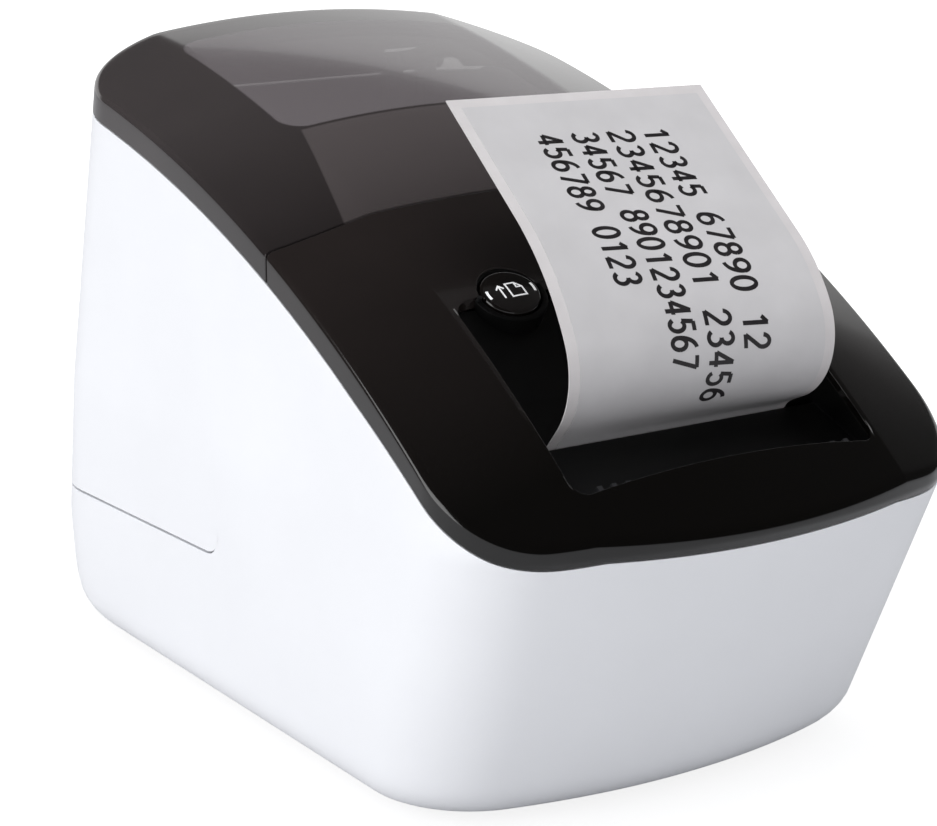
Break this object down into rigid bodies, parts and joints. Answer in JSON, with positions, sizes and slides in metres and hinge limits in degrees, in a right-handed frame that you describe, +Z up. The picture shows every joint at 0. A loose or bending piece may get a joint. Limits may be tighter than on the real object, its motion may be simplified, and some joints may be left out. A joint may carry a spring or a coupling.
{
  "type": "desktop label printer",
  "caption": "Compact desktop label printer: white shell, black top with smoked lid over a label roll, push buttons, and a label curling out of the front outlet.",
  "frame": {"origin": "centre of the bounding box's bottom face, on the table", "axes": "+Z up, front of the printer faces -Y, +X to the right seen from the front"},
  "size_m": [0.128, 0.221, 0.153],
  "materials": {
    "white_shell": "fine moulded satin, white",
    "smoked_lid": "polished smoked plastic, partly clear",
    "gloss_black": "polished black",
    "matte_black": "fine grained black",
    "clear_light": "milky light guide",
    "label_paper": "coated carrier paper",
    "label_face": "matt thermal label, printed with plain digits",
    "core_board": "wound cardboard",
    "black_rubber": "ground rubber",
    "sheet_steel": "zinc plated sheet",
    "turned_steel": "turned and plated",
    "blade_steel": "ground blade",
    "cast_frame": "dark coated metal",
    "sink_alloy": "extruded alloy",
    "bush_brass": "sintered bush",
    "head_ceramic": "glazed heater strip on ceramic",
    "gear_plastic": "natural acetal",
    "board_green": "solder mask",
    "component_black": "moulded packages",
    "flex_film": "flat flexible cable"
  },
  "bodies": {
    "housing": {"main_casing": "white_shell", "rear_cover": "white_shell", "base_plate": "matte_black", "feet": "black_rubber", "case_screws": "turned_steel", "front_panel": "gloss_black", "outlet_comb": "matte_black", "light_pipes": "clear_light", "button_board": "board_green", "button_switches": "component_black", "board_screws": "turned_steel", "hinge_pins": "turned_steel", "roll_tray": "matte_black", "spool_guides": "matte_black", "left_spool": "matte_black", "right_spool": "matte_black", "feed_strip": "label_paper", "label_strip": "label_paper", "printed_label": "label_face", "chassis_left": "sheet_steel", "chassis_right": "sheet_steel", "chassis_floor": "sheet_steel", "tie_bars": "turned_steel", "platen_bearings": "bush_brass", "idler_stud": "turned_steel", "feed_motor": "cast_frame", "head_rod": "turned_steel", "head_springs": "turned_steel", "cutter_frame": "cast_frame", "fixed_blade": "blade_steel", "cutter_motor": "cast_frame", "label_sensor": "component_black", "main_board": "board_green", "board_parts": "component_black", "board_posts": "gear_plastic", "power_board": "board_green", "power_parts": "component_black", "mains_inlet": "matte_black", "usb_port": "sheet_steel", "head_cable": "flex_film"},
    "lid": {"lid": "smoked_lid", "lid_frame": "matte_black"},
    "feed_key": {"feed_button": "gloss_black"},
    "cut_key": {"cut_button": "gloss_black"},
    "power_key": {"power_button": "gloss_black"},
    "roll": {"roll_core": "core_board", "label_roll": "label_paper"},
    "platen": {"platen_roller": "black_rubber", "platen_shaft": "turned_steel", "platen_gear": "gear_plastic"},
    "idler": {"idler_gear": "gear_plastic"},
    "pinion": {"motor_pinion": "turned_steel"},
    "blade": {"moving_blade": "blade_steel"},
    "blade_pinion": {"cutter_pinion": "turned_steel"},
    "head": {"print_head": "head_ceramic", "heat_sink": "sink_alloy", "head_bracket": "sheet_steel"}
  },
  "joints": [
    {"name": "lid_hinge", "type": "hinge", "parent": "housing", "child": "lid", "pos_m": [0, 0.07999, 0.138], "axis": [-1, 0, 0], "range_deg": [0, 100]},
    {"name": "feed_press", "type": "slide", "parent": "housing", "child": "feed_key", "axis": [0, 0.4951, -0.8688], "range_m": [0, 0.0008], "stiffness_N_per_m": 800, "springref_m": -0.0005},
    {"name": "cut_press", "type": "slide", "parent": "housing", "child": "cut_key", "axis": [0, 0.4951, -0.8688], "range_m": [0, 0.0008], "stiffness_N_per_m": 800, "springref_m": -0.0005},
    {"name": "power_press", "type": "slide", "parent": "housing", "child": "power_key", "axis": [0, 0.4951, -0.8688], "range_m": [0, 0.0008], "stiffness_N_per_m": 800, "springref_m": -0.0005},
    {"name": "roll_spin", "type": "hinge", "parent": "housing", "child": "roll", "pos_m": [0, 0.047, 0.088], "axis": [1, 0, 0], "continuous": true},
    {"name": "platen_spin", "type": "hinge", "parent": "housing", "child": "platen", "pos_m": [0, -0.0614, 0.0725], "axis": [1, 0, 0], "continuous": true},
    {"name": "idler_spin", "type": "hinge", "parent": "housing", "child": "idler", "pos_m": [0, -0.0461, 0.05293], "axis": [1, 0, 0], "continuous": true},
    {"name": "pinion_spin", "type": "hinge", "parent": "housing", "child": "pinion", "pos_m": [0, -0.044, 0.033], "axis": [1, 0, 0], "continuous": true},
    {"name": "blade_slide", "type": "slide", "parent": "housing", "child": "blade", "axis": [0, 0.7738, 0.6334], "range_m": [0, 0.005]},
    {"name": "blade_pinion_spin", "type": "hinge", "parent": "housing", "child": "blade_pinion", "pos_m": [0, -0.08085, 0.05963], "axis": [1, 0, 0], "range_deg": [-98, 1]},
    {"name": "head_lift", "type": "hinge", "parent": "housing", "child": "head", "pos_m": [0, -0.0638, 0.0499], "axis": [1, 0, 0], "range_deg": [0, 4], "stiffness_Nm_per_rad": 1, "springref_deg": -17.19, "deforming": ["head_springs"]}
  ],
  "couplings": [
    {"joint": "platen_spin", "follows": "roll_spin", "ratio": 6.6452},
    {"joint": "idler_spin", "follows": "roll_spin", "ratio": -4.1969},
    {"joint": "pinion_spin", "follows": "roll_spin", "ratio": 13.29},
    {"joint": "blade_pinion_spin", "follows": "blade_slide", "rad_per_m": -333.33}
  ]
}
